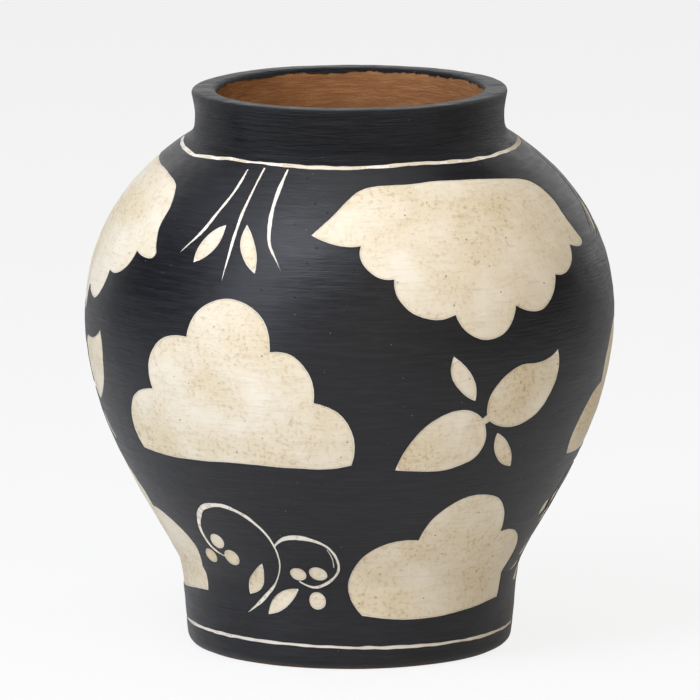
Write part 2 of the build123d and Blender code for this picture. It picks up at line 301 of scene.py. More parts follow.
class Line:
    """A wall line in half section, walked by its length, with its edges softened by hand."""

    def __init__(self, stretches, softness):
        points = [through(stretch, LINE_STEP)[:-1] for stretch in stretches]
        points = np.vstack(points + [np.array([stretches[-1][-1]], float)])
        walked = np.r_[0, np.cumsum(np.linalg.norm(np.diff(points, axis=0), axis=1))]
        self.walked = np.arange(0, walked[-1], LINE_STEP)
        radius, height = (np.interp(self.walked, walked, points[:, i]) for i in (0, 1))
        reach = round(4 * softness / LINE_STEP)
        weight = np.exp(-0.5 * (np.arange(-reach, reach + 1) * LINE_STEP / softness) ** 2)
        weight /= weight.sum()
        self.radius, self.height = (
            np.convolve(np.pad(line, reach, "reflect", reflect_type="odd"), weight, "valid")
            for line in (radius, height)
        )
        self.end = self.walked[-1]

    def at(self, walked):
        """Radius and height of the line at these lengths, and the way that faces out of it."""
        nudge = 0.2
        before, here, after = (
            [np.interp(walked + move, self.walked, line) for line in (self.radius, self.height)]
            for move in (-nudge, 0, nudge)
        )
        run, rise = after[0] - before[0], after[1] - before[1]
        size = np.hypot(run, rise) + TINY
        return *here, rise / size, -run / size

    def reach(self, height, after=0.0):
        """The first length past a given one at which the line comes to this height."""
        passed = (self.walked >= after) & (self.walked < self.walked[-1])
        passed = np.flatnonzero(passed)
        above = self.height[passed] >= height
        turn = passed[np.flatnonzero(above != above[0])[0]]
        low, high = self.height[turn - 1], self.height[turn]
        share = (height - low) / (high - low)
        return self.walked[turn - 1] + share * (self.walked[turn] - self.walked[turn - 1])


def split_line(points, *breaks):
    """A line's points as stretches that share the points where it turns sharply."""
    marks = [0, *breaks, len(points) - 1]
    return [points[a:b + 1] for a, b in zip(marks, marks[1:])]


outside = Line(split_line(OUTSIDE, 2, 5, 14, 18, 20, 21, 23), 0.7)
hollow = Line(split_line(HOLLOW, 1), 1.5)
# Up to this point the outside only rises, so each height has one place on it.
climb = int(np.argmax(outside.height > HEIGHT - 3))
# Lengths walked to the top of the rim, to where the coats start, to the end of the cream at the
# neck, to the end of the black inside the mouth, and to where the cutting up can stop.
TOP = outside.walked[int(np.argmax(outside.height))]
COAT_FOOT = outside.reach(COATS_START_HEIGHT)
CREAM_STOP = outside.reach(CREAM_TOP)
PAINT_STOP = outside.reach(PAINT_STOP_HEIGHT, after=TOP)
GRID_STOP = PAINT_STOP + 3


def walked_to(height):
    """Lengths walked up the outside to these heights, below the rim."""
    return np.interp(height, outside.height[:climb], outside.walked[:climb])


def spun(azimuth, radius, height):
    """Points at these azimuths in degrees, radii and heights."""
    angle = np.radians(azimuth)
    return np.stack([radius * np.sin(angle), -radius * np.cos(angle), height], -1)


def outer_wall(azimuth, walked, depth):
    """Points of the outside, a little uneven as a hand leaves it, at a depth below the coats."""
    radius, height, out, up = outside.at(walked)
    place = spun(azimuth, radius, height)
    level = place * (1, 1, FLATTENED)
    inward = INSET + SWELLS * waves(place, 90, 3) + DENTS * waves(level, 34, 4)
    inward = inward + FINGER_MARKS * waves(level, 13, 5) + depth
    dip = RIM_DIP * (height / HEIGHT) ** 4 * (1 - np.sin(np.radians(azimuth)))
    return spun(azimuth, radius - out * inward, height - up * inward - dip)


def inner_wall(azimuth, walked):
    """Points of the inside, with the ridges that wet fingers leave as the wall is turned."""
    radius, height, out, up = hollow.at(walked)
    place = spun(azimuth, radius, height)
    shift = waves(place, 120, 6) * 2.2
    ridges = np.sin(2 * np.pi * height / RIDGE_SPACING + shift)
    ridges = ridges * (0.55 + 0.45 * waves(place, 45, 7))
    grown = np.clip((RIDGES_START - height) / RIDGES_GROW, 0, 1)
    grown = grown * grown * (3 - 2 * grown)
    raised = (RIDGE_HEIGHT * ridges + INSIDE_SWELLS * waves(place, 60, 8)) * grown
    raised = raised - MOUTH_SETBACK * (1 - grown)
    return spun(azimuth, radius - out * raised, height - up * raised)


# ---------------------------------------------------------------- the drawings as polygons
def outline_points(outline):
    """Points round one outline, a step apart."""
    at = outline[0]
    walked = []
    for stretch in outline[1:]:
        walked.append(through([at, *stretch], EDGE_STEP)[:-1])
        at = stretch[-1]
    return np.vstack(walked)


def stroke_points(stroke):
    """Points round one scratched stroke, which widens and narrows along its middle line."""
    line = through(stroke, EDGE_STEP)
    run = np.gradient(line[:, :2], axis=0)
    run /= np.linalg.norm(run, axis=1)[:, None]
    uneven = 1 + 0.2 * waves(line[:, :2], 12, 11) + 0.08 * waves(line[:, :2], 3, 12)
    half = np.maximum(line[:, 2:] * uneven[:, None] / 2, 0.05)
    side = np.stack([-run[:, 1], run[:, 0]], -1) * half
    return np.vstack([line[:, :2] + side, (line[:, :2] - side)[::-1]])


def berry_points(across, height, half_width, half_height):
    """Points round one berry."""
    turn = np.linspace(0, 2 * np.pi, round(2 * np.pi * half_width / EDGE_STEP), endpoint=False)
    return np.stack([across + half_width * np.cos(turn), height + half_height * np.sin(turn)], -1)


def drawing_polygons(design, azimuth, rise, wide, tall, turn, seed):
    """One drawing's outlines on the wall, as (azimuth, walked) points."""
    outlines, strokes, berries, middle = DESIGNS[design]
    shapes = [outline_points(outline) for outline in outlines]
    shapes += [stroke_points(stroke) for stroke in strokes]
    shapes += [berry_points(*berry) for berry in berries]
    turn = radians(turn)
    polygons = []
    for number, shape in enumerate(shapes):
        # The third number keeps the shapes apart, so that each strays in its own way.
        local = np.c_[shape, np.full(len(shape), 40.0 * number)]
        shake = np.stack([waves(local, 24, seed), waves(local, 24, seed + 1)], -1) * STRAY
        shake += np.stack([waves(local, 3, seed + 2), waves(local, 3, seed + 3)], -1) * TREMBLE
        across, up = ((shape + shake - (0, middle)) * (wide, tall)).T
        height = across * sin(turn) + up * cos(turn) + middle + rise
        across = across * cos(turn) - up * sin(turn)
        walked = walked_to(height)
        angle = azimuth + np.degrees(np.arcsin(across / outside.at(walked)[0]))
        polygons.append(np.stack([angle, walked], -1))
    return polygons


def inside_polygon(points, polygon):
    """Which of these points lie inside the polygon."""
    found = np.zeros(len(points), bool)
    low, high = polygon.min(0), polygon.max(0)
    near = np.flatnonzero(((points >= low) & (points <= high)).all(1))
    x, y = points[near].T
    odd = np.zeros(len(near), bool)
    for (ax, ay), (bx, by) in zip(polygon, np.roll(polygon, -1, axis=0)):
        if ay != by:
            crosses = ((ay > y) != (by > y)) & (x < (bx - ax) * (y - ay) / (by - ay) + ax)
            odd ^= crosses
    found[near] = odd
    return found


# ---------------------------------------------------------------- ring lines and paint edges
def foot_ring(azimuth):
    """Height of the ring scratched round the foot, which sinks a little towards the front."""
    turn = np.radians(azimuth)
    return FOOT_RING_HEIGHT + 0.2 - 0.5 * np.sin(turn) - 0.6 * np.cos(2 * turn - 1.2)


def neck_ring(azimuth):
    """Height of the ring scratched under the neck. Its start and end miss each other."""
    stops = (-180, -135, -92, -63, -45, -20, 0, 20, 45, 90, 135, 180)
    drift = (0.2, -0.3, 1.5, -0.5, 0.7, 0.1, -0.3, 0.7, 0, 0.7, -0.2, 0.2)
    return NECK_RING_HEIGHT + np.interp(azimuth, stops, drift)


def circle(azimuth, radius):
    """Level points round the pot, for working out how uneven an edge is."""
    return spun(azimuth, radius, 0.0 * azimuth)


def ring_band(azimuth, height, width, seed):
    """Lower and upper edges of a scratched ring, as lengths walked up the wall."""
    around = circle(azimuth, RING_RADIUS)
    half = width / 2 * (1 + 0.22 * waves(around, 30, seed) + 0.15 * waves(around, 7, seed + 1))
    middle = height(azimuth) + 0.12 * waves(around, 11, seed + 2)
    return walked_to(middle - half), walked_to(middle + half)


def paint_edge(azimuth):
    """Where the brushed black stops just inside the mouth, ragged from the bristles."""
    around = circle(azimuth, MOUTH_RADIUS)
    ragged = 0.55 * waves(around, 26, 31) + 0.5 * waves(around, 6, 32)
    bristles = waves(around, 1.6, 33) * (0.35 + 0.35 * waves(around, 18, 34))
    return PAINT_STOP + ragged + bristles


def worn_edge(azimuth):
    """Where the slips end under the foot, worn back in chips where the pot is set down."""
    around = circle(azimuth, FOOT_RADIUS)
    chips = 2.2 * np.clip(waves(around, 16, 35) - 0.6, 0, 1)
    for place, size in CHIPS:
        chips += size * np.exp(-((azimuth - place) / CHIP_WIDTH) ** 2)
    return COAT_FOOT + 0.7 + 0.25 * waves(around, 7, 36) + chips


polygons = []
for number, drawing in enumerate(DRAWINGS):
    polygons += drawing_polygons(*drawing, seed=100 + 10 * number)
columns = np.linspace(-180, 180, COLUMNS + 1)
fine_columns = np.linspace(-180, 180, 2 * COLUMNS + 1)
bristle_columns = np.linspace(-180, 180, 4 * COLUMNS + 1)
foot_band = ring_band(fine_columns, foot_ring, FOOT_RING_WIDTH, 21)
neck_band = ring_band(fine_columns, neck_ring, NECK_RING_WIDTH, 24)
ragged_edge = paint_edge(bristle_columns)
lowest_edge = worn_edge(fine_columns)
# Each edge goes all the way round, so it ends at the height where it starts.
for edge in (*foot_band, *neck_band, ragged_edge, lowest_edge):
    edge[-1] = edge[0]


def row_step(walked):
    """Rows of points stand closer where the wall line bends sharply."""
    height = outside.at(walked)[1]
    if height < 7 or height > HEIGHT - 6:
        return CORNER_STEP
    if abs(height - FOOT_JOINT) < 5 or abs(height - NECK_JOINT) < 5:
        return BEND_STEP
    return GRID_STEP


def edge_loops():
    """Every edge on the unrolled wall as its points, and whether it closes on itself."""
    loops = []
    for polygon in polygons:
        for shift in (-360, 0, 360):
            copy = polygon + (shift, 0)
            if copy[:, 0].max() > -180 and copy[:, 0].min() < 180:
                loops.append((copy, True))
    for edge in (*foot_band, *neck_band):
        loops.append((np.stack([fine_columns, edge], -1), False))
    loops.append((np.stack([bristle_columns, ragged_edge], -1), False))
    loops.append((np.stack([fine_columns, lowest_edge], -1), False))
    loops.append((np.stack([columns, np.full(len(columns), CREAM_STOP)], -1), False))
    return loops


def tree_of_edges():
    """The points of all edges in a tree that finds the nearest one, in millimetres."""
    places = np.vstack([loop for loop, closed in loops]) * (MM_PER_DEGREE, 1)
    tree = KDTree(len(places))
    for i, (x, y) in enumerate(places):
        tree.insert((x, y, 0), i)
    tree.balance()
    return tree


def distance_to_edge(places):
    """Millimetres from each of these places on the unrolled wall to the nearest edge."""
    return np.array([edge_tree.find((x * MM_PER_DEGREE, y, 0))[2] for x, y in places])


def meshed_wall():
    """The outside unrolled and cut into triangles that follow every edge."""
    rows = [COAT_FOOT]
    while rows[-1] < GRID_STOP:
        rows.append(rows[-1] + row_step(rows[-1]))
    grid = np.stack(np.meshgrid(columns, rows), -1).reshape(-1, 2)
    grid = grid[distance_to_edge(grid) > CLEARANCE]

    points = [grid]
    edges = []
    count = len(grid)
    for loop, closed in loops:
        size = len(loop)
        edges += [(count + i, count + i + 1) for i in range(size - 1)]
        if closed:
            edges.append((count + size - 1, count))
        points.append(loop)
        count += size
    sides = np.array([(-180, COAT_FOOT), (-180, rows[-1]), (180, COAT_FOOT), (180, rows[-1])])
    edges += [(count, count + 1), (count + 2, count + 3)]
    points = np.vstack([*points, sides]) * (MM_PER_DEGREE, 1)
    made = delaunay_2d_cdt([Vector(p) for p in points], edges, [], 0, 1e-6, False)
    flat = np.array([tuple(p) for p in made[0]]) / (MM_PER_DEGREE, 1)
    triangles = np.array([tuple(t) for t in made[2]])
    centre = flat[triangles].mean(1)
    kept = np.abs(centre[:, 0]) < 180
    kept &= centre[:, 1] > np.interp(centre[:, 0], fine_columns, lowest_edge)
    kept &= centre[:, 1] < np.interp(centre[:, 0], bristle_columns, ragged_edge)
    return flat, triangles[kept], centre[kept]


def joined_at_the_back():
    """The triangles, with the points on the two sides of the seam at the back made one."""
    twin = np.arange(len(flat))
    right = np.flatnonzero(flat[:, 0] > 180 - 1e-4)
    left = np.flatnonzero(flat[:, 0] < -180 + 1e-4)
    for i in right:
        nearest = left[np.argmin(np.abs(flat[left, 1] - flat[i, 1]))]
        if abs(flat[nearest, 1] - flat[i, 1]) < 0.02:
            twin[i] = nearest
    return twin[triangles]


loops = edge_loops()
edge_tree = tree_of_edges()
flat, triangles, centre = meshed_wall()
triangles = joined_at_the_back()
scraped = np.zeros(len(triangles), bool)
for polygon in polygons:
    for shift in (-360, 0, 360):
        scraped |= inside_polygon(centre, polygon + (shift, 0))


def in_band(band):
    """Which triangles lie in a scratched ring."""
    low, high = (np.interp(centre[:, 0], fine_columns, edge) for edge in band)
    return (centre[:, 1] > low) & (centre[:, 1] < high)


rings = in_band(foot_band) | in_band(neck_band)
below_foot_ring = centre[:, 1] < np.interp(centre[:, 0], fine_columns, foot_band[0])
above_neck_ring = centre[:, 1] > np.interp(centre[:, 0], fine_columns, neck_band[1])


# ---------------------------------------------------------------- pieces
def outward(wall, azimuth, walked):
    """Directions square to a wall at these places, pointing out of the clay."""
    aside, ahead = 0.15, 0.25
    east = wall(azimuth + aside, walked) - wall(azimuth - aside, walked)
    north = wall(azimuth, walked + ahead) - wall(azimuth, walked - ahead)
    square = np.cross(east, north)
    return square / np.linalg.norm(square, axis=1)[:, None]


def make_piece(name, points, faces, normals, material, nodes):
    """A mesh piece in metres that rides on the pot and stands for these nodes of the frame."""
    mesh = bpy.data.meshes.new(name)
    mesh.from_pydata((points * MM).tolist(), [], faces)
    mesh.polygons.foreach_set("use_smooth", [True] * len(mesh.polygons))
    if normals is not None:
        mesh.normals_split_custom_set(normals.tolist())
    mesh.materials.append(material)
    piece = bpy.data.objects.new(name, mesh)
    bpy.context.scene.collection.objects.link(piece)
    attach(piece, "root")
    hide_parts(*nodes)
    return piece


def rim_edges(faces):
    """Edges that only one of these triangles uses, each in its triangle's direction."""
    edges = np.vstack([faces[:, [0, 1]], faces[:, [1, 2]], faces[:, [2, 0]]])
    largest = int(edges.max()) + 1
    forward = edges[:, 0].astype(np.int64) * largest + edges[:, 1]
    backward = edges[:, 1].astype(np.int64) * largest + edges[:, 0]
    return edges[~np.isin(forward, backward)]


def coat(name, chosen, top, bottom, material, node):
    """A closed skin of slip over the chosen triangles, from depth top down to depth bottom."""
    used, faces = np.unique(triangles[chosen], return_inverse=True)
    faces = faces.reshape(-1, 3)
    azimuth, walked = flat[used].T
    above = outer_wall(azimuth, walked, top)
    below = outer_wall(azimuth, walked, bottom)
    normal = outward(lambda a, w: outer_wall(a, w, top), azimuth, walked)
    count = len(used)
    rim = rim_edges(faces)
    sides = np.vstack([
        np.stack([rim[:, 1], rim[:, 0], rim[:, 0] + count], -1),
        np.stack([rim[:, 1], rim[:, 0] + count, rim[:, 1] + count], -1),
    ])
    points = np.vstack([above, below])
    under = faces[:, ::-1] + count
    corner = points[sides]
    side_normal = np.cross(corner[:, 1] - corner[:, 0], corner[:, 2] - corner[:, 0])
    side_normal /= np.linalg.norm(side_normal, axis=1)[:, None] + TINY
    normals = np.vstack([
        normal[faces.ravel()],
        -normal[(under - count).ravel()],
        np.repeat(side_normal, 3, axis=0),
    ])
    every = np.vstack([faces, under, sides])
    return make_piece(name, points, every.tolist(), normals, material, [node]), used


def closed_rings(name, loops, material, node, joined=True):
    """A closed clay piece from rings of points. The last joins the first, or both are capped."""
    count = len(loops[0])
    faces = []
    for row in range(len(loops) - 1 + joined):
        a = row * count
        b = (row + 1) % len(loops) * count
        for i in range(count):
            j = (i + 1) % count
            faces.append((a + i, a + j, b + j, b + i))
    if not joined:
        faces.append(tuple(range(count))[::-1])
        faces.append(tuple(range((len(loops) - 1) * count, len(loops) * count)))
    points = np.vstack(loops)
    piece = make_piece(f"clay_{name}", points, faces, None, material, [node])
    piece.data.set_sharp_from_angle(angle=radians(CRISP_ANGLE))
    return piece


def clay_depth(walked):
    """How far the clay lies under the finished outside: only the black covers the collar."""
    return np.where(walked > CREAM_STOP, BLACK_ALONE, 2 * SLIP)


def spaced(start, stop, step=CLAY_STEP):
    """Evenly spaced lengths between two lengths."""
    return np.linspace(start, stop, max(2, round(abs(stop - start) / step) + 1))


def outer_rings(start, stop):
    """Rings of the clay's outside between two lengths up it."""
    walks = [np.full_like(AROUND, w) for w in spaced(start, stop)]
    return [outer_wall(AROUND, w, clay_depth(w)) for w in walks]


def inner_rings(start, stop):
    """Rings of the clay's inside between two lengths down it."""
    return [inner_wall(AROUND, np.full_like(AROUND, w)) for w in spaced(start, stop)]


def flat_ring(radius, height, uneven=0.0):
    """A ring at one radius, its height a little uneven."""
    ring = spun(AROUND, radius, np.full_like(AROUND, height))
    ring[:, 2] += uneven * waves(ring, 28, 41)
    return ring


def wall_section(name, low, high):
    """A ring of wall between two joint heights."""
    loops = outer_rings(outside.reach(low), outside.reach(high))
    loops += inner_rings(hollow.reach(high), hollow.reach(low))
    return closed_rings(name, loops, clay_red, name)


def collar_section(name, low):
    """The neck, from its joint up over the rim and down inside."""
    loops = outer_rings(outside.reach(low), TOP - 8)
    loops += [
        outer_wall(AROUND, np.full_like(AROUND, w), clay_depth(w))
        for w in spaced(TOP - 7.3, PAINT_STOP + 2, CLAY_RIM_STEP)
    ]
    loops += outer_rings(PAINT_STOP + 3.5, PAINT_STOP + 5)
    loops += inner_rings(6, hollow.reach(low))
    return closed_rings(name, loops, clay_red, name)


def foot_section(name, high):
    """The foot wall, with the worn ring under it that the pot stands on."""
    loops = [flat_ring(BASE_RADIUS, 0.35, 0.1), flat_ring(BASE_RADIUS + 1.8, 0.02, 0.02)]
    loops += [flat_ring(FOOT_RADIUS - 6.9, 0.0, 0.0), flat_ring(FOOT_RADIUS - 6.0, 0.12, 0.05)]
    loops += outer_rings(0.9, outside.reach(high))
    loops += inner_rings(hollow.reach(high), hollow.end)
    loops.append(flat_ring(BASE_RADIUS, FLOOR_THICKNESS - 0.8))
    return closed_rings(name, loops, clay_red, name)


def disc_section(name):
    """The base, hollowed a little underneath, its floor ridged by the fingers."""
    under = [flat_ring(r, 0.35 + 0.25 * (1 - r / BASE_RADIUS), 0.1) for r in spaced(1, BASE_RADIUS)]
    floor = [
        flat_ring(r, FLOOR_THICKNESS - 0.4 + 0.3 * sin(r * 0.9) * (r < BASE_RADIUS - 3), 0.12)
        for r in spaced(BASE_RADIUS, 1)
    ]
    return closed_rings(name, under + floor, clay_red, name, joined=False)


# ---------------------------------------------------------------- materials
def colour(code):
    """The linear colour of an sRGB hex value."""
    parts = [int(code[i:i + 2], 16) / 255 for i in (1, 3, 5)]
    linear = [((c + 0.055) / 1.055) ** 2.4 if c > 0.04045 else c / 12.92 for c in parts]
    return (*linear, 1.0)


def per(size):
    """The scale of a pattern whose marks are this many millimetres apart."""
    return 1 / (size * MM)


def add(tree, kind, inputs=(), **settings):
    """Adds a node with its settings, each input given a value or the output that feeds it."""
    made = tree.nodes.new(kind)
    for key, value in settings.items():
        setattr(made, key, value)
    for key, value in dict(inputs).items():
        if isinstance(value, bpy.types.NodeSocket):
            tree.links.new(value, made.inputs[key])
        else:
            made.inputs[key].default_value = value
    return made


def blank_material(name):
    """An empty material, its node tree, and its surface socket."""
    material = bpy.data.materials.new(name)
    material.use_nodes = True
    tree = material.node_tree
    tree.nodes.clear()
    output = add(tree, "ShaderNodeOutputMaterial")
    return material, tree, output.inputs["Surface"]


# Mixing two colours, with the sockets of the share, the two colours and the result.
MIX_COLOURS = {"data_type": "RGBA"}
FACTOR, FIRST, SECOND, MIXED = 0, 6, 7, 2
# Relief in millimetres.
BELLY_RIDGES = 0.3
COLLAR_RIDGES = 3.4
GRAIN = 0.05
PINHOLE = 0.25
SCRAPE_DEPTH = 0.12
WIPE_DEPTH = 0.3
# How many times deeper the scrape marks are than the mottle, and the wiped streaks than the grit.
SCRAPES_TO_MOTTLE = 2.0
STREAKS_TO_GRIT = 2.2
# Beside each scratched edge of the cream, from the inner line out: where it starts to fade
# and where it ends in millimetres, its strength and its colour. The tan line is painted shade
# of a groove. The pale one is a painted highlight on the cut edge, and partly the fresh bare slip.
EDGE_SHADE_AND_HIGHLIGHT = ((0.5, 1.1, 0.22, "#a08055"), (0.15, 0.5, 0.75, "#faf5e9"))


def brushed_black_slip(name, ridges):
    """Black slip, brushed on in rounds and rubbed with a smooth stone: a satin skin with fine
    level streaks, pinholes and a little dust. Ridges is how high the brush marks stand in mm."""
    material, tree, surface = blank_material(name)
    place = add(tree, "ShaderNodeTexCoord").outputs["Object"]
    level = add(tree, "ShaderNodeMapping", {"Vector": place, "Scale": (1, 1, 14)}).outputs[0]
    cloudy = add(
        tree, "ShaderNodeTexNoise",
        {"Vector": place, "Scale": per(42), "Detail": 5, "Roughness": 0.6},
    )
    streaks = add(
        tree, "ShaderNodeTexNoise",
        {"Vector": level, "Scale": per(20), "Detail": 6, "Roughness": 0.66},
    )
    grain = add(tree, "ShaderNodeTexNoise", {"Vector": place, "Scale": per(0.9), "Detail": 3})
    tone = add(
        tree, "ShaderNodeMix",
        {FACTOR: cloudy.outputs[0], FIRST: colour("#0b0c0f"), SECOND: colour("#141519")},
        **MIX_COLOURS,
    )
    streak_tone = add(
        tree, "ShaderNodeMapRange",
        {"Value": streaks.outputs[0], "From Min": 0.45, "From Max": 0.68, "To Max": 0.6},
    )
    tone = add(
        tree, "ShaderNodeMix",
        {FACTOR: streak_tone.outputs[0], FIRST: tone.outputs[MIXED], SECOND: colour("#23242a")},
        **MIX_COLOURS,
    )
    dust = add(tree, "ShaderNodeTexVoronoi", {"Vector": place, "Scale": per(7.5)})
    speck = add(
        tree, "ShaderNodeMapRange",
        {"Value": dust.outputs["Distance"], "From Min": 0.025, "From Max": 0.05,
         "To Min": 0.45, "To Max": 0.0},
    )
    tone = add(
        tree, "ShaderNodeMix",
        {FACTOR: speck.outputs[0], FIRST: tone.outputs[MIXED], SECOND: colour("#8c8a84")},
        **MIX_COLOURS,
    )
    holes = add(tree, "ShaderNodeTexVoronoi", {"Vector": place, "Scale": per(8.5)})
    pit = add(
        tree, "ShaderNodeMapRange",
        {"Value": holes.outputs["Distance"], "From Min": 0.03, "From Max": 0.07},
    )
    height = add(
        tree, "ShaderNodeMath",
        {0: streaks.outputs[0], 1: ridges}, operation="MULTIPLY",
    )
    height = add(
        tree, "ShaderNodeMath",
        {0: grain.outputs[0], 1: GRAIN, 2: height.outputs[0]}, operation="MULTIPLY_ADD",
    )
    height = add(
        tree, "ShaderNodeMath",
        {0: pit.outputs[0], 1: PINHOLE, 2: height.outputs[0]}, operation="MULTIPLY_ADD",
    )
    bump = add(
        tree, "ShaderNodeBump",
        {"Height": height.outputs[0], "Strength": 1.0, "Distance": MM},
    )
    rough = add(
        tree, "ShaderNodeMapRange",
        {"Value": streaks.outputs[0], "From Min": 0.3, "From Max": 0.7,
         "To Min": 0.34, "To Max": 0.46},
    )
    shader = add(
        tree, "ShaderNodeBsdfPrincipled",
        {"Base Color": tone.outputs[MIXED], "Roughness": rough.outputs[0],
         "Normal": bump.outputs[0], "IOR": 1.43},
    )
    tree.links.new(shader.outputs[0], surface)
    return material


def scraped_cream_slip(name):
    """Cream slip laid bare by scraping: chalky, mottled with tan, with level scrape marks,
    brown pits, and where the point ran a paler line that is a painted highlight and partly fresh
    slip, with a tan line of painted groove shade beside it."""
    material, tree, surface = blank_material(name)
    place = add(tree, "ShaderNodeTexCoord").outputs["Object"]
    level = add(
        tree, "ShaderNodeMapping",
        {"Vector": place, "Rotation": (0.1, 0.22, 0), "Scale": (1, 1, 8)},
    ).outputs[0]
    broad = add(
        tree, "ShaderNodeTexNoise",
        {"Vector": place, "Scale": per(34), "Detail": 5, "Roughness": 0.6},
    )
    scrapes = add(
        tree, "ShaderNodeTexNoise",
        {"Vector": level, "Scale": per(13), "Detail": 6, "Roughness": 0.68},
    )
    mottle = add(
        tree, "ShaderNodeTexNoise",
        {"Vector": place, "Scale": per(2.2), "Detail": 5, "Roughness": 0.7},
    )
    worn = add(
        tree, "ShaderNodeMapRange",
        {"Value": broad.outputs[0], "From Min": 0.36, "From Max": 0.66},
    )
    tone = add(
        tree, "ShaderNodeMix",
        {FACTOR: worn.outputs[0], FIRST: colour("#efe6d2"), SECOND: colour("#e0d1b0")},
        **MIX_COLOURS,
    )
    scrape_mark = add(
        tree, "ShaderNodeMapRange",
        {"Value": scrapes.outputs[0], "From Min": 0.52, "From Max": 0.74, "To Max": 0.42},
    )
    tone = add(
        tree, "ShaderNodeMix",
        {FACTOR: scrape_mark.outputs[0], FIRST: tone.outputs[MIXED], SECOND: colour("#c2aa80")},
        **MIX_COLOURS,
    )
    tan = add(
        tree, "ShaderNodeMapRange",
        {"Value": mottle.outputs[0], "From Min": 0.52, "From Max": 0.7, "To Max": 0.85},
    )
    tan = add(
        tree, "ShaderNodeMath",
        {0: tan.outputs[0], 1: worn.outputs[0]}, operation="MULTIPLY",
    )
    tone = add(
        tree, "ShaderNodeMix",
        {FACTOR: tan.outputs[0], FIRST: tone.outputs[MIXED], SECOND: colour("#a98757")},
        **MIX_COLOURS,
    )
    # Along each scratched edge: a tan line of painted groove shade, and a pale painted highlight
    # that is partly fresh slip.
    edge = add(tree, "ShaderNodeAttribute", attribute_name="edge_mm").outputs["Fac"]
    for start, stop, strength, shade in EDGE_SHADE_AND_HIGHLIGHT:
        line = add(
            tree, "ShaderNodeMapRange",
            {"Value": edge, "From Min": start, "From Max": stop,
             "To Min": strength, "To Max": 0.0},
        )
        tone = add(
            tree, "ShaderNodeMix",
            {FACTOR: line.outputs[0], FIRST: tone.outputs[MIXED], SECOND: colour(shade)},
            **MIX_COLOURS,
        )
    holes = add(tree, "ShaderNodeTexVoronoi", {"Vector": place, "Scale": per(8)})
    pit = add(
        tree, "ShaderNodeMapRange",
        {"Value": holes.outputs["Distance"], "From Min": 0.035, "From Max": 0.075,
         "To Min": 0.8, "To Max": 0.0},
    )
    tone = add(
        tree, "ShaderNodeMix",
        {FACTOR: pit.outputs[0], FIRST: tone.outputs[MIXED], SECOND: colour("#7b5b38")},
        **MIX_COLOURS,
    )
    height = add(
        tree, "ShaderNodeMath",
        {0: scrapes.outputs[0], 1: SCRAPES_TO_MOTTLE, 2: mottle.outputs[0]},
        operation="MULTIPLY_ADD",
    )
    height = add(
        tree, "ShaderNodeMath",
        {0: height.outputs[0], 1: pit.outputs[0]}, operation="SUBTRACT",
    )
    bump = add(
        tree, "ShaderNodeBump",
        {"Height": height.outputs[0], "Strength": 1.0, "Distance": SCRAPE_DEPTH * MM},
    )
    shader = add(
        tree, "ShaderNodeBsdfPrincipled",
        {"Base Color": tone.outputs[MIXED], "Roughness": 0.66, "Normal": bump.outputs[0],
         "IOR": 1.45},
    )
    tree.links.new(shader.outputs[0], surface)
    return material


def fired_red_clay(name):
    """Low-fired red clay, wiped level with wet fingers: dull, with darker and paler streaks."""
    material, tree, surface = blank_material(name)
    place = add(tree, "ShaderNodeTexCoord").outputs["Object"]
    level = add(tree, "ShaderNodeMapping", {"Vector": place, "Scale": (1, 1, 6)}).outputs[0]
    broad = add(tree, "ShaderNodeTexNoise", {"Vector": place, "Scale": per(26), "Detail": 4})
    wiped = add(
        tree, "ShaderNodeTexNoise",
        {"Vector": level, "Scale": per(12), "Detail": 6, "Roughness": 0.66},
    )
    grit = add(tree, "ShaderNodeTexNoise", {"Vector": place, "Scale": per(0.8), "Detail": 3})
    tone = add(
        tree, "ShaderNodeMix",
        {FACTOR: broad.outputs[0], FIRST: colour("#a36d40"), SECOND: colour("#8b5b34")},
        **MIX_COLOURS,
    )
    pale = add(
        tree, "ShaderNodeMapRange",
        {"Value": wiped.outputs[0], "From Min": 0.45, "From Max": 0.7, "To Max": 0.6},
    )
    tone = add(
        tree, "ShaderNodeMix",
        {FACTOR: pale.outputs[0], FIRST: tone.outputs[MIXED], SECOND: colour("#b98854")},
        **MIX_COLOURS,
    )
    height = add(
        tree, "ShaderNodeMath",
        {0: wiped.outputs[0], 1: STREAKS_TO_GRIT, 2: grit.outputs[0]},
        operation="MULTIPLY_ADD",
    )
    bump = add(
        tree, "ShaderNodeBump",
        {"Height": height.outputs[0], "Strength": 1.0, "Distance": WIPE_DEPTH * MM},
    )
    shader = add(
        tree, "ShaderNodeBsdfPrincipled",
        {"Base Color": tone.outputs[MIXED], "Roughness": 0.82, "Normal": bump.outputs[0],
         "IOR": 1.5},
    )
    tree.links.new(shader.outputs[0], surface)
    return material


def white_card(name, glow_share, gloss_share):
    """White studio card. The eye and the gloss see it near white; the pot's shadow stays on it."""
    material, tree, surface = blank_material(name)
    painted = add(tree, "ShaderNodeBsdfDiffuse", {"Color": colour("#ececec")})
    glow = add(tree, "ShaderNodeEmission", {"Color": (1, 1, 1, 1), "Strength": 1.0})
    path = add(tree, "ShaderNodeLightPath")
    bent = add(
        tree, "ShaderNodeMath",
        {0: path.outputs["Is Glossy Ray"], 1: path.outputs["Is Transmission Ray"]},
        operation="MAXIMUM",
    )
    bent = add(
        tree, "ShaderNodeMath", {0: bent.outputs[0], 1: gloss_share}, operation="MULTIPLY"
    )
    seen = add(
        tree, "ShaderNodeMath",
        {0: path.outputs["Is Camera Ray"], 1: glow_share, 2: bent.outputs[0]},
        operation="MULTIPLY_ADD",
    )
    both = add(
        tree, "ShaderNodeMixShader",
        {0: seen.outputs[0], 1: painted.outputs[0], 2: glow.outputs[0]},
    )
    tree.links.new(both.outputs[0], surface)
    return material


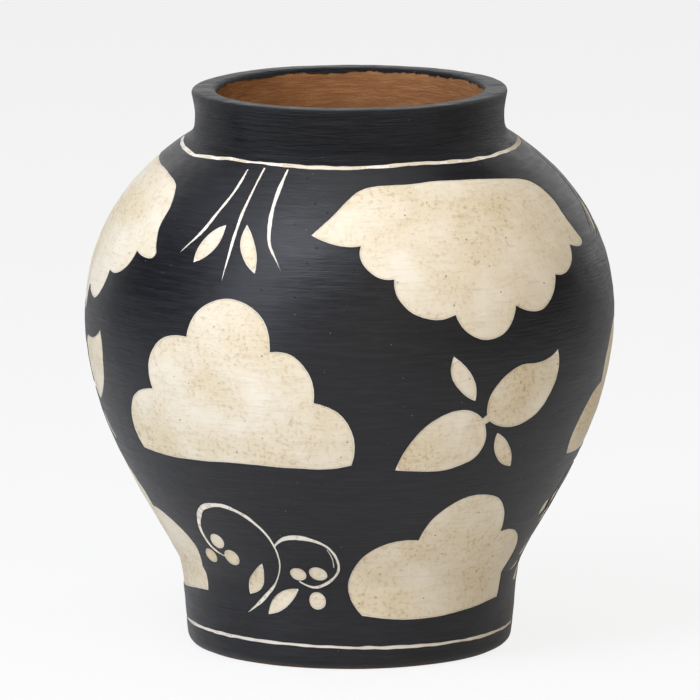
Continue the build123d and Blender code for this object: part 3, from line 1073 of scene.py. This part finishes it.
# ---------------------------------------------------------------- making the pot
clay_red = fired_red_clay("fired red clay")
black = brushed_black_slip("brushed black slip", BELLY_RIDGES)
black_collar = brushed_black_slip("brushed black slip, collar", COLLAR_RIDGES)
cream = scraped_cream_slip("scraped cream slip")

disc_section("base_disc")
foot_section("foot_wall", FOOT_JOINT)
wall_section("lower_belly", FOOT_JOINT, BELLY_JOINT)
wall_section("shoulder", BELLY_JOINT, NECK_JOINT)
collar_section("neck_collar", NECK_JOINT)


def cream_coat(name):
    """The cream coat: it follows every scratched edge outside and lies on plain clay inside."""
    chosen = centre[:, 1] < CREAM_STOP
    piece, used = coat(name, chosen, SLIP, 2 * SLIP, cream, "cream_slip_coat")
    # The same distances serve the coat's outer points and the inner points under them.
    near = np.tile(distance_to_edge(flat[used]), 2)
    attribute = piece.data.attributes.new("edge_mm", "FLOAT", "POINT")
    attribute.data.foreach_set("value", near.astype(np.float32))


cream_coat("cream_slip")
bare = ~scraped & ~rings
coat("black_slip_foot", bare & below_foot_ring, 0.0, SLIP, black, "foot_black_slip")
coat(
    "black_slip_belly", bare & ~below_foot_ring & ~above_neck_ring, 0.0, SLIP,
    black, "belly_black_slip",
)
coat(
    "black_slip_collar", bare & above_neck_ring, 0.0, BLACK_ALONE,
    black_collar, "neck_black_slip",
)

# ---------------------------------------------------------------- floor, light and camera
# Half the floor's width and the backdrop's height, in metres.
ROOM = 9
TALL = 7
MIDDLE = Vector((0, 0, HEIGHT / 2 * MM))
ROOM_LIGHT = 0.03
# Soft boxes as name, azimuth, elevation, distance, width and height in metres, power in
# watts, and colour.
LAMPS = (
    ("key", -30, 50, 1.6, 0.6, 0.6, 12, "#eef3ff"),
    ("key_low", -44, 14, 1.6, 0.4, 0.9, 9.5, "#eff3ff"),
    ("left_high", -88, 52, 1.8, 1.3, 1.0, 5, "#eef2ff"),
    ("top", -10, 84, 1.5, 1.3, 1.3, 8, "#ffffff"),
    ("fill", 44, 34, 1.8, 1.0, 1.0, 7, "#ffecd2"),
    ("front", 8, 6, 2.4, 1.2, 1.2, 6, "#fff4e4"),
    ("left_edge", -140, 18, 1.8, 0.9, 1.2, 1.6, "#ffffff"),
    ("right_edge", 140, 18, 1.8, 0.9, 1.2, 1.3, "#ffffff"),
)
# The camera stands far off with a long lens, a little above the pot.
CAMERA_LIFT = radians(9.8)
CAMERA_DISTANCE = 5.76
AIM_HEIGHT = 0.4978 * HEIGHT * MM
LENS = 617.14
FILM_WIDTH = 36
SHIFT = (0.0006, 0.0213)


def card(name, corners, glow_share, gloss_share):
    """A flat white card, part of the studio."""
    mesh = bpy.data.meshes.new(name)
    mesh.from_pydata(corners, [], [(0, 1, 2, 3)])
    mesh.materials.append(white_card(f"white card, {name}", glow_share, gloss_share))
    sheet = bpy.data.objects.new(name, mesh)
    bpy.context.scene.collection.objects.link(sheet)
    return sheet


def soft_box(name, azimuth, elevation, distance, width, height, power, shade):
    """A soft box aimed at the middle of the pot."""
    light = bpy.data.lights.new(name, "AREA")
    light.shape = "RECTANGLE"
    light.size = width
    light.size_y = height
    light.energy = power
    light.color = colour(shade)[:3]
    lamp = bpy.data.objects.new(name, light)
    turn, lift = radians(azimuth), radians(elevation)
    away = Vector((sin(turn) * cos(lift), -cos(turn) * cos(lift), sin(lift)))
    lamp.location = MIDDLE + away * distance
    lamp.rotation_euler = away.to_track_quat("Z", "Y").to_euler()
    bpy.context.scene.collection.objects.link(lamp)


floor_corners = [(-ROOM, -ROOM, 0), (ROOM, -ROOM, 0), (ROOM, ROOM, 0), (-ROOM, ROOM, 0)]
floor = card("floor", floor_corners, 0.86, 0.25)
wall_corners = [(-ROOM, ROOM, 0), (ROOM, ROOM, 0), (ROOM, ROOM, TALL), (-ROOM, ROOM, TALL)]
backdrop = card("backdrop", wall_corners, 1.0, 1.0)
for lamp in LAMPS:
    soft_box(*lamp)

# The room is dim, and white only where the camera looks past the cards.
world = bpy.data.worlds.new("studio")
world.use_nodes = True
room = world.node_tree
room.nodes.clear()
looked_at = add(room, "ShaderNodeLightPath").outputs["Is Camera Ray"]
dim = add(room, "ShaderNodeBackground", {"Color": (1, 1, 1, 1), "Strength": ROOM_LIGHT})
bright = add(room, "ShaderNodeBackground", {"Color": (1, 1, 1, 1), "Strength": 1.0})
either = add(
    room, "ShaderNodeMixShader", {0: looked_at, 1: dim.outputs[0], 2: bright.outputs[0]}
)
add(room, "ShaderNodeOutputWorld", {"Surface": either.outputs[0]})
bpy.context.scene.world = world

camera_data = bpy.data.cameras.new("camera")
camera_data.sensor_width = FILM_WIDTH
camera_data.lens = LENS
camera_data.shift_x, camera_data.shift_y = SHIFT
camera_data.clip_end = 50
camera = bpy.data.objects.new("camera", camera_data)
camera.location = (
    0, -CAMERA_DISTANCE * cos(CAMERA_LIFT), AIM_HEIGHT + CAMERA_DISTANCE * sin(CAMERA_LIFT)
)
camera.rotation_euler = (np.pi / 2 - CAMERA_LIFT, 0, 0)
bpy.context.scene.collection.objects.link(camera)
bpy.context.scene.camera = camera
bpy.context.scene.view_settings.view_transform = "Standard"
